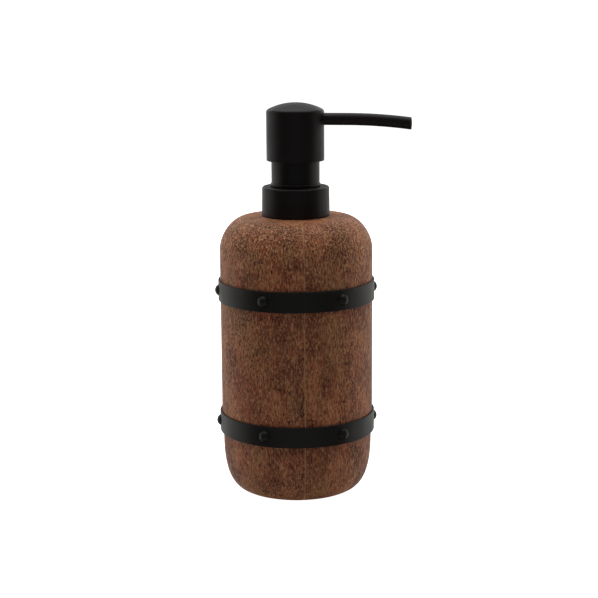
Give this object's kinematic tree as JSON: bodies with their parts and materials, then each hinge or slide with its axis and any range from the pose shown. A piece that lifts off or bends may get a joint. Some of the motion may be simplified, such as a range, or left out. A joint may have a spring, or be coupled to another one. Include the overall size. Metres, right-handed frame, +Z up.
{
  "type": "soap pump dispenser",
  "caption": "Turned wooden soap dispenser with riveted black metal hoops and a black metal lotion pump with a slim side spout.",
  "frame": {"origin": "on the pump's axis, at the underside of the base pad, which stands on the table", "axes": "+Z up along the pump's axis, +X along the spout"},
  "size_m": [0.0953, 0.0776, 0.1926],
  "materials": {
    "stained_wood": "reddish brown stain under satin lacquer, fine vertical grain",
    "black_steel": "satin black powder coat on sheet steel",
    "black_polypropylene": "moulded black, matt",
    "natural_polypropylene": "moulded, uncoloured, slightly milky",
    "natural_polyethylene": "extruded or moulded, waxy and milky",
    "clear_polyethylene": "blow-moulded, milky",
    "white_elastomer": "soft white sealing washer",
    "black_foam": "matt foam rubber",
    "steel_ball": "polished stainless ball",
    "spring_steel": "bright drawn stainless wire"
  },
  "bodies": {
    "bottle": {"wood_barrel": "stained_wood", "base_plug": "stained_wood", "base_pad": "black_foam", "liner_bottle": "clear_polyethylene", "upper_hoop": "black_steel", "lower_hoop": "black_steel", "upper_hoop_rivets": "black_steel", "lower_hoop_rivets": "black_steel"},
    "pump_body": {"neck_gasket": "white_elastomer", "guide_sleeve": "black_steel", "stem_guide": "black_polypropylene", "pump_housing": "natural_polypropylene", "dip_tube": "natural_polyethylene", "return_spring": "spring_steel"},
    "closure": {"screw_cap": "black_polypropylene", "collar_shell": "black_steel"},
    "ball": {"inlet_ball": "steel_ball"},
    "stem": {"pump_stem": "natural_polypropylene", "stem_plug": "natural_polypropylene"},
    "piston": {"piston_seal": "natural_polyethylene"},
    "head": {"head_core": "black_polypropylene", "head_shell": "black_steel", "spout_tube": "black_steel"}
  },
  "joints": [
    {"name": "pump_lift", "type": "slide", "parent": "bottle", "child": "pump_body", "axis": [0, 0, 1], "range_m": [0, 0.0096]},
    {"name": "closure_turn", "type": "hinge", "parent": "pump_body", "child": "closure", "pos_m": [0, 0, 0.144], "axis": [0, 0, 1], "range_deg": [0, 810]},
    {"name": "ball_lift", "type": "slide", "parent": "pump_body", "child": "ball", "axis": [0, 0, 1], "range_m": [0, 0.0015]},
    {"name": "head_press", "type": "slide", "parent": "pump_body", "child": "stem", "axis": [0, 0, -1], "range_m": [0, 0.012], "stiffness_N_per_m": 800, "springref_m": -0.008, "deforming": ["return_spring"]},
    {"name": "piston_slip", "type": "slide", "parent": "stem", "child": "piston", "axis": [0, 0, 1], "range_m": [0, 0.0012]},
    {"name": "spout_swivel", "type": "hinge", "parent": "stem", "child": "head", "pos_m": [0, 0, 0.176], "axis": [0, 0, 1], "continuous": true}
  ],
  "couplings": [
    {"joint": "pump_lift", "follows": "closure_turn", "m_per_rad": 0.00067323}
  ]
}
